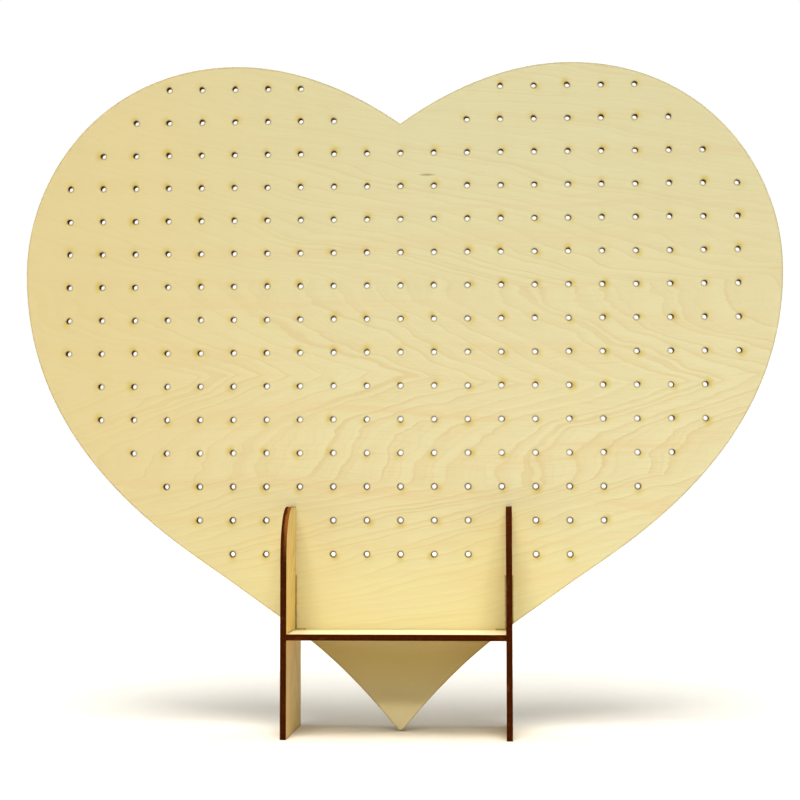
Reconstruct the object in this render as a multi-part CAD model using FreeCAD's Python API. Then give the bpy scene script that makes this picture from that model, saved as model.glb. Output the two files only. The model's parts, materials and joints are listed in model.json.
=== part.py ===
import FreeCAD, Part
import math
import os

# Heart-shaped peg board of plywood, standing upright in two slotted plywood legs. A ledge
# joins the legs; the lower end of the board passes down through an opening in it.
# Millimetres. +X right, +Y away from the front, +Z up.
# Origin: on the table, under the centre of the whole outline.

os.makedirs("parts", exist_ok=True)

# Sheet and peg holes
PLY = 6.0                   # thickness of every piece
PITCH = 35.0                # peg hole spacing, both ways
HOLE_R = 2.5                # peg hole radius
TOP_ROW_Z = 671.5           # height of the uppermost row of holes

# First and last hole of each row, from the top row down, in pitches out from the
# centre line. Every row is the same on both sides of it.
ROW_SPANS = [(3, 7), (2, 8), (0, 9)] + 6 * [(0, 10)] + 2 * [(0, 9)]
ROW_SPANS = ROW_SPANS + [(0, 8), (0, 7), (0, 6), (0, 5)]
LEG_COLUMN = 3              # column left out where the legs stand against the board
LEG_ROWS = 2                # number of lowest rows in which it is left out

# Heart outline: points it passes through, and the reach of its curves at them
BOARD_FRONT_Y = 15.0
NOTCH_Z = 632.3             # bottom of the notch between the lobes
NOTCH_RISE = 35.0           # degrees by which the edge climbs out of the notch
NOTCH_REACH = 28.5
LOBE_X = 176.0              # highest point of a lobe
LOBE_Z = 695.5
LOBE_REACH_IN = 85.0
LOBE_REACH_OUT = 138.5
SIDE_X = 396.0              # widest point
SIDE_Z = 478.0
SIDE_REACH_UP = 107.0
SIDE_REACH_DOWN = 193.0
FLANK_X = 175.0             # where the edge turns from convex to slightly hollow
FLANK_Z = 152.0
FLANK_RISE = 35.8
FLANK_REACH_UP = 65.0
FLANK_REACH_DOWN = 83.5
TIP_Z = -1.2                # meeting point of the flanks before the tip is rounded
TIP_RISE = 50.4
TIP_REACH = 110.0
TIP_R = 4.0

# Legs
LEG_INNER_X = 109.0         # inner face of a leg
LEG_FRONT_Y = -65.0
LEG_REAR_Y = 65.0
LEG_H = 230.5
LEG_FRONT_R = 50.0          # rounding of the upper front corner
LEG_REAR_R = 30.0           # rounding of the upper rear corner

# Cross lap between board and legs
SLOT_GAP = 0.25             # clearance on each side of the sheet in its slot
LAP_Z = 158.7               # height where the two slots meet
LAP_GAP = 0.05

# Ledge
LEDGE_TOP_Z = 103.7
TAB_L = 40.0                # length of the tab, front to back
TAB_MID_Y = -25.0
TAB_GAP = 0.05              # clearance around the tab in its mortise

# Shoulders of the board on the ledge, and the opening for what hangs below them
SHOULDER_X = 99.3           # half width of the board just below its shoulders
SHOULDER_GAP = 0.05         # between the shoulders and the top of the ledge
OPENING_GAP = 0.3           # clearance around the board in the opening

# Length by which a cutting block runs past the sheet
PAST = 10.0


def point(x, z):
    """Point in the plane of the board's front face."""
    return FreeCAD.Vector(x, BOARD_FRONT_Y, z)


def along(degrees, length):
    """Step of a given length in that plane, at an angle above +X."""
    a = math.radians(degrees)
    return FreeCAD.Vector(length * math.cos(a), 0, length * math.sin(a))


def curve(poles, side):
    """Cubic edge through the first and last pole; side -1 mirrors it to the left half."""
    bezier = Part.BezierCurve()
    bezier.setPoles([FreeCAD.Vector(side * p.x, p.y, p.z) for p in poles])
    return bezier.toShape()


def block(x0, x1, y0, y1, z0, z1):
    """Box between two corners."""
    return Part.makeBox(x1 - x0, y1 - y0, z1 - z0, FreeCAD.Vector(x0, y0, z0))


def heart_blank():
    """Heart-shaped sheet with a rounded tip, before its holes and slots."""
    notch = point(0, NOTCH_Z)
    lobe = point(LOBE_X, LOBE_Z)
    widest = point(SIDE_X, SIDE_Z)
    flank = point(FLANK_X, FLANK_Z)
    tip = point(0, TIP_Z)
    arcs = [
        [notch, notch + along(NOTCH_RISE, NOTCH_REACH), lobe - along(0, LOBE_REACH_IN), lobe],
        [lobe, lobe + along(0, LOBE_REACH_OUT), widest + along(90, SIDE_REACH_UP), widest],
        [widest, widest - along(90, SIDE_REACH_DOWN), flank + along(FLANK_RISE, FLANK_REACH_UP), flank],
        [flank, flank - along(FLANK_RISE, FLANK_REACH_DOWN), tip + along(TIP_RISE, TIP_REACH), tip],
    ]
    edges = [curve(poles, side) for side in (1, -1) for poles in arcs]
    outline = Part.Wire(Part.__sortEdges__(edges))
    sheet = Part.Face(outline).extrude(FreeCAD.Vector(0, PLY, 0))
    tip_edges = [e for e in sheet.Edges if e.BoundBox.ZMax < TIP_Z + 0.01]
    return sheet.makeFillet(TIP_R, tip_edges)


def peg_holes():
    """Cylinders that cut the grid of peg holes."""
    holes = []
    for row, (first, last) in enumerate(ROW_SPANS):
        for column in range(-last, last + 1):
            behind_leg = row >= len(ROW_SPANS) - LEG_ROWS and abs(column) == LEG_COLUMN
            if abs(column) < first or behind_leg:
                continue
            start = FreeCAD.Vector(column * PITCH, BOARD_FRONT_Y - PAST, TOP_ROW_Z - row * PITCH)
            holes.append(Part.makeCylinder(HOLE_R, PLY + 2 * PAST, start, FreeCAD.Vector(0, 1, 0)))
    return holes


def heart_panel():
    """Board with its peg holes, the two slots that drop over the legs, and its shoulders."""
    y0 = BOARD_FRONT_Y - PAST
    y1 = BOARD_FRONT_Y + PLY + PAST
    cuts = peg_holes()
    for side in (1, -1):
        middle = side * (LEG_INNER_X + PLY / 2)
        half = PLY / 2 + SLOT_GAP
        cuts.append(block(middle - half, middle + half, y0, y1, -PAST, LAP_Z + LAP_GAP))
        x0, x1 = sorted((side * SHOULDER_X, side * LEG_INNER_X))
        cuts.append(block(x0, x1, y0, y1, LEDGE_TOP_Z - PAST, LEDGE_TOP_Z + SHOULDER_GAP))
    return heart_blank().cut(cuts)


def leg(side):
    """Upright side plate: rounded upper corners, board slot, mortise for the ledge's tab."""
    x0 = min(side * LEG_INNER_X, side * (LEG_INNER_X + PLY))
    x1 = x0 + PLY
    plate = block(x0, x1, LEG_FRONT_Y, LEG_REAR_Y, 0, LEG_H)
    for y, radius in ((LEG_FRONT_Y, LEG_FRONT_R), (LEG_REAR_Y, LEG_REAR_R)):
        corner = [
            e
            for e in plate.Edges
            if e.BoundBox.ZMin > LEG_H - 0.01
            and e.BoundBox.YMin > y - 0.01
            and e.BoundBox.YMax < y + 0.01
        ]
        plate = plate.makeFillet(radius, corner)
    board_slot = block(
        x0 - PAST,
        x1 + PAST,
        BOARD_FRONT_Y - SLOT_GAP,
        BOARD_FRONT_Y + PLY + SLOT_GAP,
        LAP_Z,
        LEG_H + PAST,
    )
    mortise = block(
        x0 - PAST,
        x1 + PAST,
        TAB_MID_Y - TAB_L / 2 - TAB_GAP,
        TAB_MID_Y + TAB_L / 2 + TAB_GAP,
        LEDGE_TOP_Z - PLY - TAB_GAP,
        LEDGE_TOP_Z + TAB_GAP,
    )
    return plate.cut([board_slot, mortise])


def shelf():
    """Ledge as deep as the legs: an opening for the board, and a tab at each end that ends
    flush with the leg's outside."""
    z0 = LEDGE_TOP_Z - PLY
    plate = block(-LEG_INNER_X, LEG_INNER_X, LEG_FRONT_Y, LEG_REAR_Y, z0, LEDGE_TOP_Z)
    reach = LEG_INNER_X + PLY
    tab_y0 = TAB_MID_Y - TAB_L / 2
    tabs = block(-reach, reach, tab_y0, tab_y0 + TAB_L, z0, LEDGE_TOP_Z)
    half = SHOULDER_X + OPENING_GAP
    opening_y0 = BOARD_FRONT_Y - OPENING_GAP
    opening_y1 = BOARD_FRONT_Y + PLY + OPENING_GAP
    opening = block(-half, half, opening_y0, opening_y1, z0 - PAST, LEDGE_TOP_Z + PAST)
    return plate.fuse(tabs).cut(opening).removeSplitter()


heart_panel().exportStep("parts/heart_panel.step")
leg(-1).exportStep("parts/left_leg.step")
leg(1).exportStep("parts/right_leg.step")
shelf().exportStep("parts/shelf.step")
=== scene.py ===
"""Looks for a heart-shaped plywood peg board in two slotted legs with a ledge between them.

Each of the four plywood pieces is built again as a laser-cut sheet: plies that show along the
cut, eased edges, bored peg holes, and scorch marks that spread over the faces. Lengths are in
metres, and in the materials they are in millimetres.
"""
import json
import math
import random

import bpy
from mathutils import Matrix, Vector, geometry


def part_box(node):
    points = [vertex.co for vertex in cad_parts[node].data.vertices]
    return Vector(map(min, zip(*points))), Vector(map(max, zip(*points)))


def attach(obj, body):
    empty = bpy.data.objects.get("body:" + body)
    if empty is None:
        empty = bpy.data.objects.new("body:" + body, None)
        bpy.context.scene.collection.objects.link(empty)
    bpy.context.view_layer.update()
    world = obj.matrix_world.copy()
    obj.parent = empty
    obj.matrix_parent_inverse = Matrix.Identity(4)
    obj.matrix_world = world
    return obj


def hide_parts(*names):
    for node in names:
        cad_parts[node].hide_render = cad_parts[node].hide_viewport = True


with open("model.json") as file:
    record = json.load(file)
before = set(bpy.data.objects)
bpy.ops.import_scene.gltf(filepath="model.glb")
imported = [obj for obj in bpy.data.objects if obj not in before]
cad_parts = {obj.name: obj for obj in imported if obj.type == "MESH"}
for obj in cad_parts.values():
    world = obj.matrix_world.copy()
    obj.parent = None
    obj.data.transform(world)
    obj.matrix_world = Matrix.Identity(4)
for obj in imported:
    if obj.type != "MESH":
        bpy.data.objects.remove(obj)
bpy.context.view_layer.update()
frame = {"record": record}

MM = 0.001
NEAR = 0.001 * MM           # points closer than this count as one
X, Y, Z = 0, 1, 2

# Heart outline: the same curves as the design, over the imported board's own box
NOTCH_Z = 0.6323
NOTCH_RISE = 35.0
NOTCH_REACH = 0.0285
LOBE_X = 0.176
LOBE_REACH_IN = 0.085
LOBE_REACH_OUT = 0.1385
SIDE_Z = 0.478
SIDE_REACH_UP = 0.107
SIDE_REACH_DOWN = 0.193
FLANK_X = 0.175
FLANK_Z = 0.152
FLANK_RISE = 35.8
FLANK_REACH_UP = 0.065
FLANK_REACH_DOWN = 0.0835
TIP_Z = -0.0012
TIP_RISE = 50.4
TIP_REACH = 0.110
TIP_R = 0.004

# Joinery
SLOT_GAP = 0.0001
LAP_Z = 0.1587
LAP_GAP = 0.00005
LEG_FRONT_R = 0.050
LEG_REAR_R = 0.030
TAB_L = 0.040
TAB_MID_Y = -0.025
TAB_GAP = 0.00005
SHOULDER_X = 0.0993
SHOULDER_GAP = 0.00005
OPENING_GAP = 0.0003

# Straight steps in each rounded stretch
CURVE_STEPS = 40
TIP_STEPS = 8
LEG_FRONT_STEPS = 20
LEG_REAR_STEPS = 14
HOLE_SIDES = 20

# How the laser leaves a cut: the plies recede by turns, and the glue between them stands as a line
PLIES = 5
PLY_RECESS = (0.0, 0.08 * MM, 0.03 * MM, 0.08 * MM, 0.0)
GLUE_HALF = 0.04 * MM
EASE = 0.12 * MM
SHARP_ANGLE = 28.0

# Marks on the faces: (distance from the cut, char, scorch), from the cut outwards
EDGE_MARKS = (
    (0.12 * MM, 1.0, 1.0),
    (0.4 * MM, 0.7, 0.9),
    (0.9 * MM, 0.3, 0.5),
    (2.0 * MM, 0.0, 0.0),
)
HOLE_MARKS = (
    (0.12 * MM, 1.0, 1.0),
    (0.4 * MM, 0.95, 1.0),
    (0.9 * MM, 0.45, 0.95),
    (2.0 * MM, 0.0, 0.9),
    (4.0 * MM, 0.0, 0.6),
    (6.0 * MM, 0.0, 0.22),
    (8.5 * MM, 0.0, 0.0),
)
HOLE_BACK_MARKS = ((0.12 * MM, 1.0, 0.8), (1.0 * MM, 0.2, 0.6), (4.0 * MM, 0.0, 0.0))
HOLE_ROOM = MM              # left free between a hole's marks and those along the outline

# How strongly the cuts charred the faces beside them. Where the board sits on the ledge, the char
# also paints a contact shadow.
OUTLINE_BURN = 0.25
JOINT_CHAR_AND_SHADE = 0.9
LEG_BURN = 0.5
LEDGE_BURN = 0.3

# Char all round a hole's rim: even on the lower rows, one-sided above
RIM_LOW = 1.00
RIM_HIGH = 0.55
RIM_LEE = 1.4
RIM_CHANGE = -0.08

# Smoke round a hole: spread of its direction, amount, and how narrow it blows to one side
DRIFT_SPREAD = 0.6
SMOKE_LEAST = 0.45
SMOKE_MORE = 0.75
SMOKE_RARITY = 1.4
FAN_WIDE = 1.0
FAN_NARROW = 3.5
SMOKE_ALL_ROUND = 0.10

FRONT, BACK, CUT = 0, 1, 2
rng = random.Random(41)


# ---------------------------------------------------------------- outlines in a sheet's own plane


def step(degrees, length):
    """Step of a given length at an angle above the first axis."""
    a = math.radians(degrees)
    return Vector((length * math.cos(a), length * math.sin(a)))


def cubic(p0, p1, p2, p3):
    """Points of a cubic curve, without its last one."""
    points = []
    for i in range(CURVE_STEPS):
        t = i / CURVE_STEPS
        s = 1 - t
        points.append(s**3 * p0 + 3 * s * s * t * p1 + 3 * s * t * t * p2 + t**3 * p3)
    return points


def arc(centre, radius, start, end, steps):
    """Points of an arc, both ends included; angles in degrees."""
    turns = [start + (end - start) * i / steps for i in range(steps + 1)]
    return [centre + step(a, radius) for a in turns]


def cut_away(half, x0, x1, roof):
    """Cuts a slot or a step into an outline's right half, which runs down to the tip.

    The cut lies between x0 and x1 and is open at the bottom; roof is its upper end.
    """
    points = []
    for p, q in zip(half, half[1:]):
        points.append(p)
        if p.x > x1 >= q.x and q.y < roof:
            points += [p.lerp(q, (p.x - x1) / (p.x - q.x)), Vector((x1, roof))]
        if p.y > roof >= q.y and x0 < q.x < x1:
            points.append(p.lerp(q, (p.y - roof) / (p.y - q.y)))
        if p.x > x0 >= q.x:
            points += [Vector((x0, roof)), p.lerp(q, (p.x - x0) / (p.x - q.x))]
    points.append(half[-1])
    return [p for p in points if not (x0 + NEAR < p.x < x1 - NEAR and p.y < roof - NEAR)]


def heart_outline():
    """Counter-clockwise outline of the board, seen from the front."""
    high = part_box("heart_panel")[1]
    leg_low, leg_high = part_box("right_leg")
    notch = Vector((0, NOTCH_Z))
    lobe = Vector((LOBE_X, high.z))
    widest = Vector((high.x, SIDE_Z))
    flank = Vector((FLANK_X, FLANK_Z))
    tip = Vector((0, TIP_Z))
    rise = TIP_R / math.cos(math.radians(TIP_RISE))
    round_tip = arc(tip + step(90, rise), TIP_R, TIP_RISE - 90, -90, TIP_STEPS)
    arcs = [
        [notch, notch + step(NOTCH_RISE, NOTCH_REACH), lobe - step(0, LOBE_REACH_IN), lobe],
        [lobe, lobe + step(0, LOBE_REACH_OUT), widest + step(90, SIDE_REACH_UP), widest],
        [widest, widest - step(90, SIDE_REACH_DOWN), flank + step(FLANK_RISE, FLANK_REACH_UP), flank],
        [flank, flank - step(FLANK_RISE, FLANK_REACH_DOWN), tip + step(TIP_RISE, TIP_REACH), tip],
    ]
    half = [p for poles in arcs for p in cubic(*poles)]
    half = [p for p in half if p.y > round_tip[0].y] + round_tip
    half = cut_away(half, SHOULDER_X, leg_low.x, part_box("shelf")[1].z + SHOULDER_GAP)
    half = cut_away(half, leg_low.x - SLOT_GAP, leg_high.x + SLOT_GAP, LAP_Z + LAP_GAP)
    left = [Vector((-p.x, p.y)) for p in half[1:-1]]
    return list(reversed(half)) + left


def leg_outline():
    """Counter-clockwise outline of a leg, front to back along the first axis."""
    low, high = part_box("right_leg")
    board_low, board_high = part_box("heart_panel")
    y0, y1 = board_low.y - SLOT_GAP, board_high.y + SLOT_GAP
    rear_centre = Vector((high.y - LEG_REAR_R, high.z - LEG_REAR_R))
    front_centre = Vector((low.y + LEG_FRONT_R, high.z - LEG_FRONT_R))
    rear = arc(rear_centre, LEG_REAR_R, 0, 90, LEG_REAR_STEPS)
    front = arc(front_centre, LEG_FRONT_R, 90, 180, LEG_FRONT_STEPS)
    slot = [Vector((y1, high.z)), Vector((y1, LAP_Z)), Vector((y0, LAP_Z)), Vector((y0, high.z))]
    return [Vector((low.y, low.z)), Vector((high.y, low.z))] + rear + slot + front


def mortise_outline():
    """Clockwise outline of the mortise that the ledge's tab fills."""
    low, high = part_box("shelf")
    y0, y1 = TAB_MID_Y - TAB_L / 2 - TAB_GAP, TAB_MID_Y + TAB_L / 2 + TAB_GAP
    z0, z1 = low.z - TAB_GAP, high.z + TAB_GAP
    return [Vector((y0, z0)), Vector((y0, z1)), Vector((y1, z1)), Vector((y1, z0))]


def ledge_outline():
    """Counter-clockwise outline of the ledge with a tab at each end, seen from above."""
    low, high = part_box("shelf")
    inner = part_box("right_leg")[0].x
    y0, y1 = TAB_MID_Y - TAB_L / 2, TAB_MID_Y + TAB_L / 2
    right = [(inner, low.y), (inner, y0), (high.x, y0), (high.x, y1), (inner, y1), (inner, high.y)]
    points = right + [(-x, y) for x, y in reversed(right)]
    return [Vector(p) for p in points]


def opening_outline():
    """Clockwise outline of the opening in the ledge that the board hangs down through."""
    low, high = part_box("heart_panel")
    x1 = SHOULDER_X + OPENING_GAP
    y0, y1 = low.y - OPENING_GAP, high.y + OPENING_GAP
    return [Vector(p) for p in ((-x1, y0), (-x1, y1), (x1, y1), (x1, y0))]


def peg_holes():
    """Centre and radius of every peg hole, from the record's mounts on the board."""
    holes = []
    for mount in frame["record"]["mounts"]:
        size = mount["dims"]
        x, _, z = mount["pos_m"]
        if mount["kind"] == "bore":
            holes.append((Vector((x, z)), size["r_mm"] * MM))
        elif mount["kind"] == "bolt_pattern":
            reach_x = size.get("spacing_x_mm", 0) * MM / 2
            reach_z = size.get("spacing_y_mm", 0) * MM / 2
            corners = {(x + i * reach_x, z + k * reach_z) for i in (-1, 1) for k in (-1, 1)}
            holes += [(Vector(c), size["hole_r_mm"] * MM) for c in sorted(corners)]
    return holes


def inset(loop, distance):
    """The loop moved into the sheet, which lies on its left, with mitred corners."""
    moved = []
    for i, p in enumerate(loop):
        d0 = (p - loop[i - 1]).normalized()
        d1 = (loop[(i + 1) % len(loop)] - p).normalized()
        n0, n1 = Vector((-d0.y, d0.x)), Vector((-d1.y, d1.x))
        moved.append(p + (n0 + n1) * (distance / (1 + n0.dot(n1))))
    return moved


# ---------------------------------------------------------------- sheets


TRIANGLES_INSIDE = 1        # what the triangulation returns: triangles within the borders
WELD = 1e-9                 # distance at which it joins points
SLIVER = 1e-14              # twice the area below which a triangle is left out


class Sheet:
    """Mesh of one plywood sheet. t is the depth below its front face."""

    def __init__(self, place, thickness):
        self.place = place
        self.thickness = thickness
        self.points = []
        self.marks = []
        self.faces = []
        self.sides = []

    def loop(self, outline, t, chars=None, scorches=None):
        """Adds a closed loop of points with their char and scorch, and returns their numbers."""
        first = len(self.points)
        none = [0.0] * len(outline)
        for p, char, scorch in zip(outline, chars or none, scorches or none):
            self.points.append(self.place(p.x, p.y, t))
            self.marks.append((char, scorch, t / self.thickness))
        return list(range(first, len(self.points)))

    def strip(self, a, b, side, back=False):
        """Quads between two loops with the same number of points."""
        n = len(a)
        for i in range(n):
            j = (i + 1) % n
            quad = (a[i], a[j], b[j], b[i])
            self.faces.append(quad[::-1] if back else quad)
            self.sides.append(side)

    def cut(self, front, back, outline_at, profile):
        """Wall of a cut from the front loop to the back one, through the (inset, depth) steps."""
        rows = [front] + [self.loop(outline_at(d), t) for d, t in profile] + [back]
        for a, b in zip(rows, rows[1:]):
            self.strip(a, b, CUT, back=True)

    def fill(self, loops, side):
        """Triangles over what the marked borders leave free; loops are (outline, numbers)."""
        flat = [p for outline, _ in loops for p in outline]
        numbers = [n for _, ids in loops for n in ids]
        owner = [k for k, (outline, _) in enumerate(loops) for _ in outline]
        edges, first = [], 0
        for outline, _ in loops:
            n = len(outline)
            edges += [(first + i, first + (i + 1) % n) for i in range(n)]
            first += n
        made = geometry.delaunay_2d_cdt(flat, edges, [], TRIANGLES_INSIDE, WELD)
        source = [ids[0] for ids in made[3]]
        for face in made[2]:
            corners = [source[i] for i in face]
            owners = {owner[c] for c in corners}
            if len(owners) == 1 and owners != {0}:
                continue
            a, b, c = (flat[i] for i in corners)
            turn = (b - a).cross(c - a)
            if abs(turn) < SLIVER:
                continue
            ids = tuple(numbers[i] for i in corners)
            if (turn > 0) == (side == BACK):
                ids = ids[::-1]
            self.faces.append(ids)
            self.sides.append(side)

    def object(self, name, materials):
        """The finished mesh object."""
        mesh = bpy.data.meshes.new(name)
        mesh.from_pydata(self.points, [], self.faces)
        for i, label in enumerate(("char", "scorch", "depth")):
            layer = mesh.attributes.new(label, "FLOAT", "POINT")
            layer.data.foreach_set("value", [m[i] for m in self.marks])
        for m in materials:
            mesh.materials.append(m)
        mesh.polygons.foreach_set("material_index", self.sides)
        mesh.polygons.foreach_set("use_smooth", [True] * len(self.faces))
        mesh.set_sharp_from_angle(angle=math.radians(SHARP_ANGLE))
        mesh.update()
        obj = bpy.data.objects.new(name, mesh)
        bpy.context.scene.collection.objects.link(obj)
        return obj


def ply_profile(thickness):
    """(inset, depth) steps of the edge of a sheet, between its two eased corners."""
    ply = thickness / PLIES
    rows = [(PLY_RECESS[0], EASE)]
    for k in range(1, PLIES):
        rows.append((PLY_RECESS[k - 1], k * ply - GLUE_HALF))
        rows.append((PLY_RECESS[k], k * ply + GLUE_HALF))
    rows.append((PLY_RECESS[-1], thickness - EASE))
    return rows


def hole_circle(centre, radius):
    """Clockwise circle, so that the sheet lies on its left."""
    return [centre + step(-360 * i / HOLE_SIDES, radius) for i in range(HOLE_SIDES)]


def drifted(centre, middle):
    """Char and scorch at each point round a hole: the smoke blows mostly away from the middle."""
    outward = centre - middle
    drift = math.atan2(outward.y, outward.x) + rng.gauss(0, DRIFT_SPREAD)
    amount = SMOKE_LEAST + SMOKE_MORE * rng.random() ** SMOKE_RARITY
    narrow = rng.uniform(FAN_WIDE, FAN_NARROW)
    even = RIM_LOW if outward.y < RIM_CHANGE else RIM_HIGH
    chars, scorches = [], []
    for i in range(HOLE_SIDES):
        lean = max(0.0, math.cos(-2 * math.pi * i / HOLE_SIDES - drift)) ** narrow
        chars.append(even + (RIM_LEE - even) * lean)
        scorches.append(amount * (SMOKE_ALL_ROUND + (1 - SMOKE_ALL_ROUND) * lean))
    return chars, scorches


def build_sheet(name, place, thickness, outlines, burn_and_shade, materials, holes=(), middle=None):
    """One laser-cut sheet from its outlines, the first of them the outer one, and its round holes.

    burn_and_shade gives how strongly the cut charred the face beside a point of an outline, and on
    the board's shoulders also the painted contact shadow of the ledge. Smoke at the holes blows away
    from the middle.
    """
    sheet = Sheet(place, thickness)
    borders = {FRONT: [], BACK: []}

    def mark(shape_at, marks, t, side, burns_and_shade, smokes):
        """Rings of points around one cut on one face; returns the ring at the cut."""
        rings = []
        for d, char, scorch in marks:
            shape = shape_at(d)
            chars = [char * b for b in burns_and_shade]
            scorches = [scorch * s for s in smokes]
            rings.append((shape, sheet.loop(shape, t, chars, scorches)))
        for inner, outer in zip(rings, rings[1:]):
            sheet.strip(inner[1], outer[1], side, back=side == BACK)
        borders[side].append(rings[-1])
        return rings[0][1]

    for outline in outlines:
        def border(d):
            return inset(outline, d)

        burns_and_shade = [burn_and_shade(p) for p in outline]
        front = mark(border, EDGE_MARKS, 0.0, FRONT, burns_and_shade, burns_and_shade)
        back = mark(border, EDGE_MARKS, thickness, BACK, burns_and_shade, burns_and_shade)
        sheet.cut(front, back, border, ply_profile(thickness))
    for centre, radius in holes:
        def rim(d):
            return hole_circle(centre, radius + d)

        room = min((centre - p).length for p in outlines[0]) - EDGE_MARKS[-1][0] - HOLE_ROOM
        squeeze = min(1.0, (room - radius) / HOLE_MARKS[-1][0])
        marks = [(d * squeeze, char, scorch) for d, char, scorch in HOLE_MARKS]
        chars, smokes = drifted(centre, middle)
        front = mark(rim, marks, 0.0, FRONT, chars, smokes)
        back = mark(rim, HOLE_BACK_MARKS, thickness, BACK, chars, smokes)
        sheet.cut(front, back, rim, [(0.0, EASE), (0.0, thickness - EASE)])
    for side in (FRONT, BACK):
        sheet.fill(borders[side], side)
    return sheet.object(name, materials)


# ---------------------------------------------------------------- materials


class Graph:
    """A material's node tree with short calls. An input is a number, a colour or an output."""

    def __init__(self, name):
        self.material = bpy.data.materials.new(name)
        self.material.use_nodes = True
        self.tree = self.material.node_tree
        self.shader = self.tree.nodes["Principled BSDF"]

    def put(self, socket, value):
        if isinstance(value, bpy.types.NodeSocket):
            self.tree.links.new(value, socket)
        else:
            socket.default_value = value

    def node(self, kind, inputs=(), **settings):
        made = self.tree.nodes.new(kind)
        for key, value in settings.items():
            setattr(made, key, value)
        for key, value in dict(inputs).items():
            self.put(made.inputs[key], value)
        return made

    def calc(self, operation, a, b=0.0, c=0.0):
        made = self.node("ShaderNodeMath", operation=operation)
        for socket, value in zip(made.inputs, (a, b, c)):
            self.put(socket, value)
        return made.outputs[0]

    def vector(self, x, y, z=0.0):
        return self.node("ShaderNodeCombineXYZ", {"X": x, "Y": y, "Z": z}).outputs[0]

    def noise(self, at, detail=2.0, roughness=0.5):
        inputs = {"Vector": at, "Scale": 1.0, "Detail": detail, "Roughness": roughness}
        return self.node("ShaderNodeTexNoise", inputs).outputs["Fac"]

    def noise_1d(self, at, detail, roughness):
        inputs = {"W": at, "Scale": 1.0, "Detail": detail, "Roughness": roughness}
        return self.node("ShaderNodeTexNoise", inputs, noise_dimensions="1D").outputs["Fac"]

    def grain(self, u, v, size, layer, detail=2.0, roughness=0.5):
        """Noise with its own length and width; layer tells it apart from the others."""
        length, width = size
        at = self.vector(self.calc("DIVIDE", u, length), self.calc("DIVIDE", v, width), layer)
        return self.noise(at, detail, roughness)

    def swayed(self, value, noise, reach):
        """The value moved to either side by up to half the reach."""
        return self.calc("MULTIPLY_ADD", self.calc("SUBTRACT", noise, 0.5), reach, value)

    def fit(self, value, low, high, to_low=0.0, to_high=1.0):
        names = ("Value", "From Min", "From Max", "To Min", "To Max")
        inputs = dict(zip(names, (value, low, high, to_low, to_high)))
        made = self.node("ShaderNodeMapRange", inputs, interpolation_type="SMOOTHSTEP")
        return made.outputs[0]

    def mix(self, share, a, b):
        made = self.node("ShaderNodeMix", data_type="RGBA")
        for socket, value in ((made.inputs[0], share), (made.inputs[6], a), (made.inputs[7], b)):
            self.put(socket, value)
        return made.outputs[2]

    def place(self):
        """Position on the piece in millimetres, as x, y and z."""
        at = self.node("ShaderNodeTexCoord").outputs["Object"]
        parts = self.node("ShaderNodeSeparateXYZ", {"Vector": at}).outputs
        return [self.calc("MULTIPLY", part, 1 / MM) for part in parts]

    def attribute(self, name):
        return self.node("ShaderNodeAttribute", attribute_name=name).outputs["Fac"]

    def finish(self, colour, roughness, height, depth, gloss):
        inputs = {"Height": height, "Distance": depth, "Strength": 1.0}
        bump = self.node("ShaderNodeBump", inputs)
        self.put(self.shader.inputs["Base Color"], colour)
        self.put(self.shader.inputs["Roughness"], roughness)
        self.put(self.shader.inputs["Normal"], bump.outputs["Normal"])
        self.put(self.shader.inputs["Specular IOR Level"], gloss)
        return self.material


# The veneers' own colours: board, ledge and legs; the ledge's cream also paints light on the board's
# tip
PALE = (0.640, 0.594, 0.388, 1.0)
CREAM = (0.800, 0.750, 0.530, 1.0)
HONEY = (0.930, 0.740, 0.315, 1.0)

# Growth lines, bands, slow changes of tone, painted light and shade, and the dark streak
LINE = (0.540, 0.400, 0.190, 1.0)
ROSE = (0.630, 0.490, 0.285, 1.0)
PAINTED_LEDGE_SHADOW = (0.560, 0.450, 0.200, 1.0)
KHAKI = (0.542, 0.518, 0.343, 1.0)
TAN = (0.600, 0.505, 0.275, 1.0)
PAINTED_BOUNCE_LIGHT = (0.690, 0.650, 0.380, 1.0)
PAINTED_LEG_SHADE = (0.640, 0.480, 0.210, 1.0)
FLECK = (0.230, 0.150, 0.085, 1.0)

# What the laser leaves on a face
SMOKE = (0.530, 0.405, 0.070, 1.0)
SOOT = (0.115, 0.062, 0.008, 1.0)

# How strongly each feature brings its tint in
LATE_SHARE = 0.66
FINE_SHARE = 0.16
BAND_SHARE = 0.50
HAIR_SHARE = 0.22
TONE_SHARE = 0.20
STREAK_SHARE = 0.55
SMOKE_SHARE = 0.85

# Growth lines: nested flames that open to one side, with a wavy stretch along their middle
RING_GAP = 40.0             # between lines along the middle of the figure
RING_SPREAD = 0.0006
FLAME_REACH = 300.0         # the flames straighten out beyond this distance
RIPPLE_L = 105.0
RIPPLE_RINGS = 2.3
RIPPLE_START = 75.0
RIPPLE_END = 210.0
RING_WANDER = 1.6
FINE_LINES = 6.3            # fine lines for each growth line

# One growth line, as shares of the way to the next: a sharp line, and a soft shade after it
SHARP_START = 0.93
SHARP_END = 0.28
SHARP_DEPTH = 0.42
SOFT_END = 0.9
SOFT_DEPTH = 0.30
SHARP_LEAST = 0.15          # what is left of the sharp line where it fades along the grain

# Noises in the veneer: length along the grain and width across it
WARP_SIZE = (330.0, 95.0)
SWAY_SIZE = (150.0, 50.0)
FADE_SIZE = (130.0, 45.0)
BAND_SIZE = (420.0, 17.0)
HAIR_SIZE = (48.0, 1.1)
TONE_SIZE = (400.0, 300.0)
SPOT_SIZE = 1.7             # patches in the smoke and char, round

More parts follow.
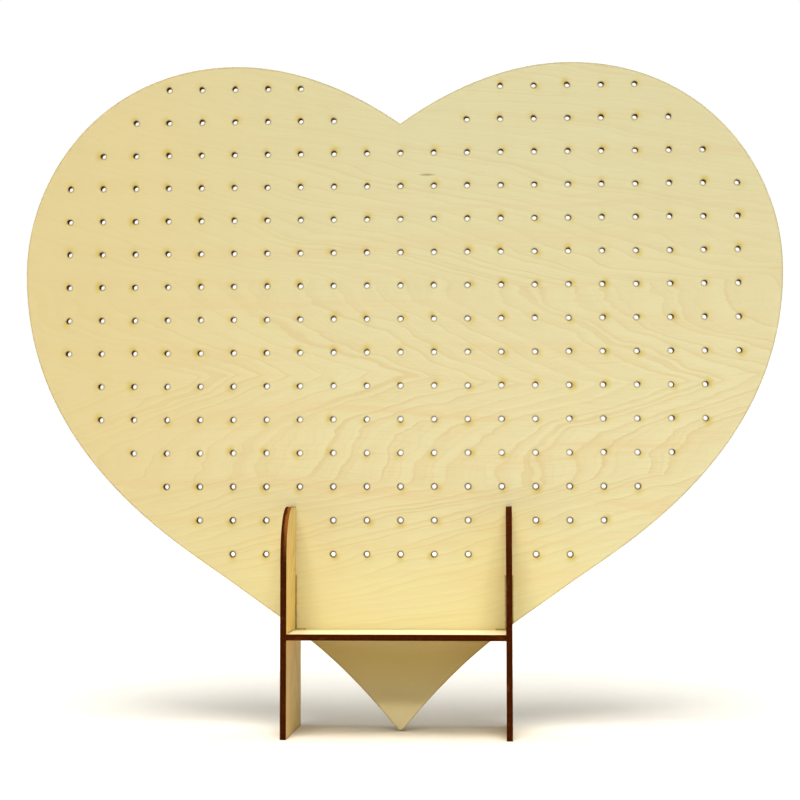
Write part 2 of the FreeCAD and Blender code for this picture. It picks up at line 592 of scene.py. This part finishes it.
# How far noise pushes the figure and its tones about. The sway along the grain is less away
# from the figure's middle.
WARP_REACH = 60.0
TONE_REACH = 60.0
SWAY_NEAR = 90.0
SWAY_FAR = 55.0
SWAY_EDGE = (60.0, 220.0)

VENEER_RELIEF = 0.03 * MM
VENEER_GLOSS = 0.15


def growth_lines(g, u, v, seed, figure):
    """How dark the late wood is, and the fine lines between; figure scales the wavy middle."""
    far = g.calc("ABSOLUTE", v)
    flatten = g.calc("MULTIPLY_ADD", far, 1 / FLAME_REACH, 1.0)
    spread = g.calc("DIVIDE", g.calc("MULTIPLY", v, v), flatten)
    ripple = g.calc("ABSOLUTE", g.calc("SINE", g.calc("MULTIPLY", v, math.pi / RIPPLE_L)))
    fade = g.fit(far, RIPPLE_START, RIPPLE_END, RIPPLE_RINGS * figure, 0.0)
    rings = g.calc("MULTIPLY_ADD", spread, RING_SPREAD, g.calc("DIVIDE", u, RING_GAP))
    rings = g.calc("MULTIPLY_ADD", ripple, fade, rings)
    wander = g.noise_1d(g.calc("ADD", rings, 31.0 * seed), 2.0, 0.5)
    within = g.calc("FRACT", g.calc("MULTIPLY_ADD", wander, RING_WANDER, rings))
    rise = g.fit(within, SHARP_START, 1.0)
    sharp = g.calc("MAXIMUM", g.fit(within, 0.0, SHARP_END, 1.0, 0.0), rise)
    faded = g.grain(u, v, FADE_SIZE, seed + 2.0)
    sharp = g.calc("MULTIPLY", sharp, g.fit(faded, 0.35, 0.65, SHARP_LEAST, 1.0))
    soft = g.fit(within, 0.0, SOFT_END, SOFT_DEPTH, 0.0)
    late = g.calc("MULTIPLY_ADD", sharp, SHARP_DEPTH, soft)
    fine = g.noise_1d(g.calc("MULTIPLY", rings, FINE_LINES), 4.0, 0.7)
    return late, fine


def streaked(g, colour, along, across, streak):
    """A short dark streak along the grain."""
    (u0, v0), (half_length, half_width) = streak
    du = g.calc("DIVIDE", g.calc("SUBTRACT", along, u0), half_length)
    dv = g.calc("DIVIDE", g.calc("SUBTRACT", across, v0), half_width)
    squares = g.calc("ADD", g.calc("MULTIPLY", du, du), g.calc("MULTIPLY", dv, dv))
    return g.mix(g.fit(g.calc("SQRT", squares), 0.2, 1.0, STREAK_SHARE, 0.0), colour, FLECK)


def scorched(g, colour, at):
    """Smoke and char beside the cuts."""
    spots = g.noise(g.vector(*[g.calc("DIVIDE", part, SPOT_SIZE) for part in at]), 3.0, 0.6)
    smoked = g.calc("MULTIPLY", g.attribute("scorch"), g.fit(spots, 0.25, 0.75, 0.65, 1.05))
    # char also holds the painted contact shadow on the board's shoulders
    burnt = g.calc("MULTIPLY", g.attribute("char"), g.fit(spots, 0.25, 0.65, 0.60, 1.15))
    smoked = g.calc("MINIMUM", g.calc("MULTIPLY", smoked, SMOKE_SHARE), 1.0)
    colour = g.mix(smoked, colour, SMOKE)
    return g.mix(g.calc("MINIMUM", burnt, 1.0), colour, SOOT)


def veneer(name, base, along, across, origin, seed, figure=1.0, streak=None, tones_and_light=()):
    """Birch face veneer. along and across are the axes of the grain; origin is its figure's middle.

    streak is the middle and the half size of a dark streak. Each entry of tones_and_light is a tint
    that comes in slowly along an axis, for the wood's own tone and for painted light and shade:
    (axis, middle, reach, share before, share after, tint).
    """
    g = Graph(name)
    at = g.place()
    u = g.calc("SUBTRACT", at[along], origin[0])
    v = g.calc("SUBTRACT", at[across], origin[1])
    v = g.swayed(v, g.grain(u, v, WARP_SIZE, seed, 3.0), WARP_REACH)
    sway_reach = g.fit(g.calc("ABSOLUTE", v), *SWAY_EDGE, SWAY_NEAR, SWAY_FAR)
    u = g.swayed(u, g.grain(u, v, SWAY_SIZE, seed + 7.0, 4.0, 0.55), sway_reach)
    late, fine = growth_lines(g, u, v, seed, figure)

    # Long tinted bands, fibres and the veneer's slow change of tone
    band = g.grain(u, v, BAND_SIZE, seed + 3.0, 4.0, 0.62)
    hair = g.grain(u, v, HAIR_SIZE, seed + 5.0, 4.0, 0.65)
    tone = g.grain(u, v, TONE_SIZE, seed + 9.0)
    colour = g.mix(g.calc("MULTIPLY", late, LATE_SHARE), base, LINE)
    colour = g.mix(g.fit(fine, 0.48, 0.75, 0.0, FINE_SHARE), colour, LINE)
    colour = g.mix(g.fit(band, 0.50, 0.72, 0.0, BAND_SHARE), colour, ROSE)
    colour = g.mix(g.fit(hair, 0.48, 0.72, 0.0, HAIR_SHARE), colour, LINE)
    colour = g.mix(g.fit(tone, 0.35, 0.75, 0.0, TONE_SHARE), colour, ROSE)
    for axis, middle, reach, before, after, tint in tones_and_light:
        near = g.swayed(at[axis], tone, TONE_REACH)
        share = g.fit(near, middle - reach, middle + reach, before, after)
        colour = g.mix(share, colour, tint)
    if streak:
        colour = streaked(g, colour, at[along], at[across], streak)
    colour = scorched(g, colour, at)
    roughness = g.fit(hair, 0.3, 0.8, 0.50, 0.66)
    return g.finish(colour, roughness, hair, VENEER_RELIEF, VENEER_GLOSS)


# The burnt edge: its tints, a painted highlight, and the size of its ridges and patches along the cut
# and through it
CHAR_DARK = (0.042, 0.0080, 0.0006, 1.0)
CHAR_WARM = (0.125, 0.030, 0.0025, 1.0)
CHAR_PALE = (0.300, 0.125, 0.028, 1.0)
GLUE = (0.014, 0.005, 0.0015, 1.0)
PLY_SHARE = 0.40
PATCH_SHARE = 0.35
HIGHLIGHT_SHARE = 0.85
GLUE_SHARE = 0.6
RIDGE_WIDTH = 0.22
RIDGE_DEPTH = 6.0
PATCH_WIDTH = 14.0
PATCH_DEPTH = 5.0
HIGHLIGHT_RISE = 45.0           # height over which the painted highlight on an edge comes in
CUT_RELIEF = 0.05 * MM
CUT_GLOSS = 0.02


def cut_edge(name, through, seed, highlight_from=None):
    """Laser-cut edge: charred plies, darker glue lines and fine ridges across the sheet.

    through is the axis across the sheet. highlight_from is a height above which the half near the
    front face is painted paler, a highlight where the curved top faces up to the light.
    """
    g = Graph(name)
    at = g.place()

    def stretched(deep, wide):
        sizes = [deep if axis == through else wide for axis in (X, Y, Z)]
        return [g.calc("DIVIDE", part, size) for part, size in zip(at, sizes)]

    depth = g.attribute("depth")
    level = g.calc("MULTIPLY", depth, float(PLIES))
    cross_ply = g.calc("MODULO", g.calc("FLOOR", level), 2.0)
    ridges = g.noise(g.vector(*stretched(RIDGE_DEPTH, RIDGE_WIDTH)), 2.0, 0.6)
    patch_at = [g.calc("ADD", part, seed) for part in stretched(PATCH_DEPTH, PATCH_WIDTH)]
    patches = g.noise(g.vector(*patch_at), 3.0, 0.6)
    within = g.calc("FRACT", g.calc("ADD", level, 0.5))
    glue = g.fit(g.calc("ABSOLUTE", g.calc("SUBTRACT", within, 0.5)), 0.03, 0.09, 1.0, 0.0)
    colour = g.mix(g.fit(ridges, 0.30, 0.70), CHAR_DARK, CHAR_WARM)
    colour = g.mix(g.calc("MULTIPLY", cross_ply, PLY_SHARE), colour, CHAR_DARK)
    colour = g.mix(g.fit(patches, 0.52, 0.80, 0.0, PATCH_SHARE), colour, CHAR_PALE)
    # Painted highlight: the edge is paler high up, where its curved top faces the light
    if highlight_from:
        up = g.fit(at[Z], highlight_from, highlight_from + HIGHLIGHT_RISE)
        near = g.calc("ADD", depth, g.fit(patches, 0.3, 0.7, -0.12, 0.12))
        share = g.calc("MULTIPLY", up, g.fit(near, 0.30, 0.65, HIGHLIGHT_SHARE, 0.0))
        colour = g.mix(share, colour, CHAR_PALE)
    colour = g.mix(g.calc("MULTIPLY", glue, GLUE_SHARE), colour, GLUE)
    roughness = g.fit(ridges, 0.3, 0.7, 0.55, 0.80)
    return g.finish(colour, roughness, ridges, CUT_RELIEF, CUT_GLOSS)


# ---------------------------------------------------------------- the four pieces


# Slow changes of tone, with painted light and shade: painted bounce light between the legs, the
# ledge's painted shadow below it and painted light at the tip below that shadow; greener towards the
# top and browner towards the left
BOARD_TONES_AND_LIGHT = (
    # painted bounce light from the legs and the ledge, on the board between the legs
    (Z, 195.0, 75.0, 0.50, 0.0, PAINTED_BOUNCE_LIGHT),
    # painted shadow of the ledge, on the board below it
    (Z, 97.0, 20.0, 0.80, 0.0, PAINTED_LEDGE_SHADOW),
    # painted light on the tip, where the key reaches below the ledge's shadow
    (Z, 52.0, 35.0, 0.60, 0.0, CREAM),
    (Z, 430.0, 220.0, 0.0, 0.60, KHAKI),
    (X, -190.0, 240.0, 0.75, 0.0, TAN),
)
BOARD_STREAK = ((28.0, 578.0), (11.0, 1.7))
# painted shade on the legs below the ledge's level, where the inner faces lie in the ledge's shade
LEG_SHADE_BELOW_LEDGE = ((Z, 100.0, 60.0, 0.55, 0.0, PAINTED_LEG_SHADE),)


def add_board():
    """The heart-shaped board: charred most beside its slots and on its shoulders, where the char also
    paints the ledge's contact shadow.
    """
    low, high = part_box("heart_panel")
    slot_low, slot_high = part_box("right_leg")
    ledge_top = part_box("shelf")[1].z

    def burn_and_shade(p):
        beside_slot = slot_low.x - MM < abs(p.x) < slot_high.x + MM and p.y < LAP_Z + MM
        # on the shoulders the char also paints the contact shadow where the board sits on the ledge
        on_ledge = SHOULDER_X - MM < abs(p.x) < slot_high.x and p.y < ledge_top + MM
        return JOINT_CHAR_AND_SHADE if beside_slot or on_ledge else OUTLINE_BURN

    front = veneer(
        "board_front_veneer",
        PALE,
        along=X,
        across=Z,
        origin=(-40.0, 362.0),
        seed=1.3,
        streak=BOARD_STREAK,
        tones_and_light=BOARD_TONES_AND_LIGHT,
    )
    back = veneer(
        "board_back_veneer", PALE, along=X, across=Z, origin=(60.0, 480.0), seed=5.1, figure=0.5
    )
    board = build_sheet(
        "heart_board",
        lambda a, b, t: (a, low.y + t, b),
        high.y - low.y,
        [heart_outline()],
        burn_and_shade,
        [front, back, cut_edge("board_cut", through=Y, seed=2.0)],
        peg_holes(),
        Vector((0, (low.z + high.z) / 2)),
    )
    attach(board, "panel")
    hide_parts("heart_panel")


def add_leg(node, name, seed, highlight_from=None):
    """One leg; its front face is the one to the right."""
    low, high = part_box(node)

    def face(side, origin, own_seed):
        return veneer(
            name + side, HONEY, Z, Y, origin=origin, seed=own_seed, figure=0.3, tones_and_light=LEG_SHADE_BELOW_LEDGE
        )

    leg = build_sheet(
        name,
        lambda a, b, t: (high.x - t, a, b),
        high.x - low.x,
        [leg_outline(), mortise_outline()],
        lambda p: LEG_BURN,
        [
            face("_right_veneer", (150.0, 10.0), seed),
            face("_left_veneer", (40.0, -30.0), seed + 2.0),
            cut_edge(name + "_cut", X, seed, highlight_from),
        ],
    )
    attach(leg, "stand")
    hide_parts(node)


def add_ledge():
    """The ledge; its front face is its top."""
    low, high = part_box("shelf")
    ledge = build_sheet(
        "ledge",
        lambda a, b, t: (a, b, high.z - t),
        high.z - low.z,
        [ledge_outline(), opening_outline()],
        lambda p: LEDGE_BURN,
        [
            veneer("ledge_top_veneer", CREAM, X, Y, origin=(-30.0, -10.0), seed=8.4, figure=0.2),
            veneer("ledge_under_veneer", HONEY, X, Y, origin=(70.0, -40.0), seed=11.7, figure=0.2),
            cut_edge("ledge_cut", through=Z, seed=6.0),
        ],
    )
    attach(ledge, "stand")
    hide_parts("shelf")


# ---------------------------------------------------------------- studio


FLOOR_REACH = 12.0
FLOOR_COLOUR = (0.800, 0.780, 0.735, 1.0)
FLOOR_MOTTLE = (0.792, 0.772, 0.727, 1.0)
FLOOR_MOTTLE_SIZE = 40.0
FLOOR_RELIEF = 0.05 * MM
FLOOR_ROUGHNESS = 0.9
FLOOR_GLOSS = 0.1

# Brightness of the tent: dim in front, bright behind the board, a dark gap above, a bright top,
# and a softbox between the top and the front. Each edge is where one goes over into the next: a
# direction's Y, its Z, or its share towards the softbox.
TENT_COLOUR = (1.0, 0.995, 0.985, 1.0)
ROOM_LIGHT = 0.40
BACKDROP_LIGHT = 1.02
BACKDROP_EDGE = (-0.4, 0.2)
GAP_LIGHT = 0.08
GAP_EDGE = (0.28, 0.5)
ZENITH_LIGHT = 3.2
ZENITH_EDGE = (0.84, 0.97)
SOFTBOX_LIGHT = 8.3
SOFTBOX_AT = (0.0, -0.50, 0.866)
SOFTBOX_EDGE = (0.93, 0.975)

# Strip of light high in front: how far it reaches to each side and how high it is, per metre in
# front, and how wide each of its lamps looks, in degrees
KEY_LIGHT = 1.10
KEY_COLOUR = (1.0, 0.985, 0.955)
KEY_LAMPS = 9
KEY_WIDTH = 4.0
KEY_LEFT = -0.34
KEY_RIGHT = 0.36
KEY_RISE = 0.87

CAMERA_SENSOR = 36.0
CAMERA_LENS = 81.1
CAMERA_AT = (0.1092, -1.8536, 0.2178)
CAMERA_TURN = (93.778, 0.038, 3.360)
DISPLAY_GAMMA = 0.8


def add_floor():
    """Plain pale floor."""
    mesh = bpy.data.meshes.new("floor")
    corners = [(-1, -1), (1, -1), (1, 1), (-1, 1)]
    points = [(x * FLOOR_REACH, y * FLOOR_REACH, 0.0) for x, y in corners]
    mesh.from_pydata(points, [], [(0, 1, 2, 3)])
    floor = bpy.data.objects.new("floor", mesh)
    bpy.context.scene.collection.objects.link(floor)
    g = Graph("floor_paint")
    at = [g.calc("DIVIDE", part, FLOOR_MOTTLE_SIZE) for part in g.place()]
    mottle = g.noise(g.vector(*at), 3.0)
    colour = g.mix(g.fit(mottle, 0.3, 0.7), FLOOR_COLOUR, FLOOR_MOTTLE)
    mesh.materials.append(g.finish(colour, FLOOR_ROUGHNESS, mottle, FLOOR_RELIEF, FLOOR_GLOSS))


def add_world():
    """Soft light tent with a softbox overhead; the camera itself sees a plain white backdrop."""
    world = bpy.data.worlds.new("tent")
    world.use_nodes = True
    tree = world.node_tree
    at = tree.nodes.new("ShaderNodeTexCoord").outputs["Generated"]
    parts = tree.nodes.new("ShaderNodeSeparateXYZ")
    tree.links.new(at, parts.inputs[0])

    def ramp(along, edge, low, high):
        made = tree.nodes.new("ShaderNodeMapRange")
        made.interpolation_type = "SMOOTHSTEP"
        tree.links.new(along, made.inputs["Value"])
        values = {"From Min": edge[0], "From Max": edge[1], "To Min": low, "To Max": high}
        for name, value in values.items():
            if isinstance(value, bpy.types.NodeSocket):
                tree.links.new(value, made.inputs[name])
            else:
                made.inputs[name].default_value = value
        return made.outputs[0]

    toward = tree.nodes.new("ShaderNodeVectorMath")
    toward.operation = "DOT_PRODUCT"
    toward.inputs[1].default_value = SOFTBOX_AT
    tree.links.new(at, toward.inputs[0])
    light = ramp(parts.outputs["Y"], BACKDROP_EDGE, ROOM_LIGHT, BACKDROP_LIGHT)
    light = ramp(parts.outputs["Z"], GAP_EDGE, light, GAP_LIGHT)
    light = ramp(parts.outputs["Z"], ZENITH_EDGE, light, ZENITH_LIGHT)
    light = ramp(toward.outputs["Value"], SOFTBOX_EDGE, light, SOFTBOX_LIGHT)
    seen = tree.nodes.new("ShaderNodeLightPath").outputs["Is Camera Ray"]
    background = tree.nodes["Background"]
    tree.links.new(ramp(seen, (0.0, 1.0), light, BACKDROP_LIGHT), background.inputs["Strength"])
    background.inputs["Color"].default_value = TENT_COLOUR
    bpy.context.scene.world = world


def add_key():
    """Wide, low strip of light: soft to the sides, so the ledge's shadow keeps a crisp edge."""
    for i in range(KEY_LAMPS):
        light = bpy.data.lights.new("key", "SUN")
        light.energy = KEY_LIGHT / KEY_LAMPS
        light.angle = math.radians(KEY_WIDTH)
        light.color = KEY_COLOUR
        lamp = bpy.data.objects.new("key", light)
        aside = KEY_LEFT + (KEY_RIGHT - KEY_LEFT) * i / (KEY_LAMPS - 1)
        lamp.rotation_euler = Vector((aside, -1.0, KEY_RISE)).to_track_quat("Z", "Y").to_euler()
        bpy.context.scene.collection.objects.link(lamp)


def add_camera():
    """Low camera a little right of the middle, turned slightly left and up."""
    camera = bpy.data.cameras.new("camera")
    camera.sensor_width = CAMERA_SENSOR
    camera.lens = CAMERA_LENS
    holder = bpy.data.objects.new("camera", camera)
    holder.location = CAMERA_AT
    holder.rotation_euler = [math.radians(a) for a in CAMERA_TURN]
    bpy.context.scene.collection.objects.link(holder)
    bpy.context.scene.camera = holder


add_board()
add_leg("left_leg", "left_leg_plate", 3.2, highlight_from=170.0)
add_leg("right_leg", "right_leg_plate", 14.6)
add_ledge()
add_floor()
add_world()
add_key()
add_camera()
bpy.context.scene.view_settings.view_transform = "Standard"
bpy.context.scene.view_settings.gamma = DISPLAY_GAMMA
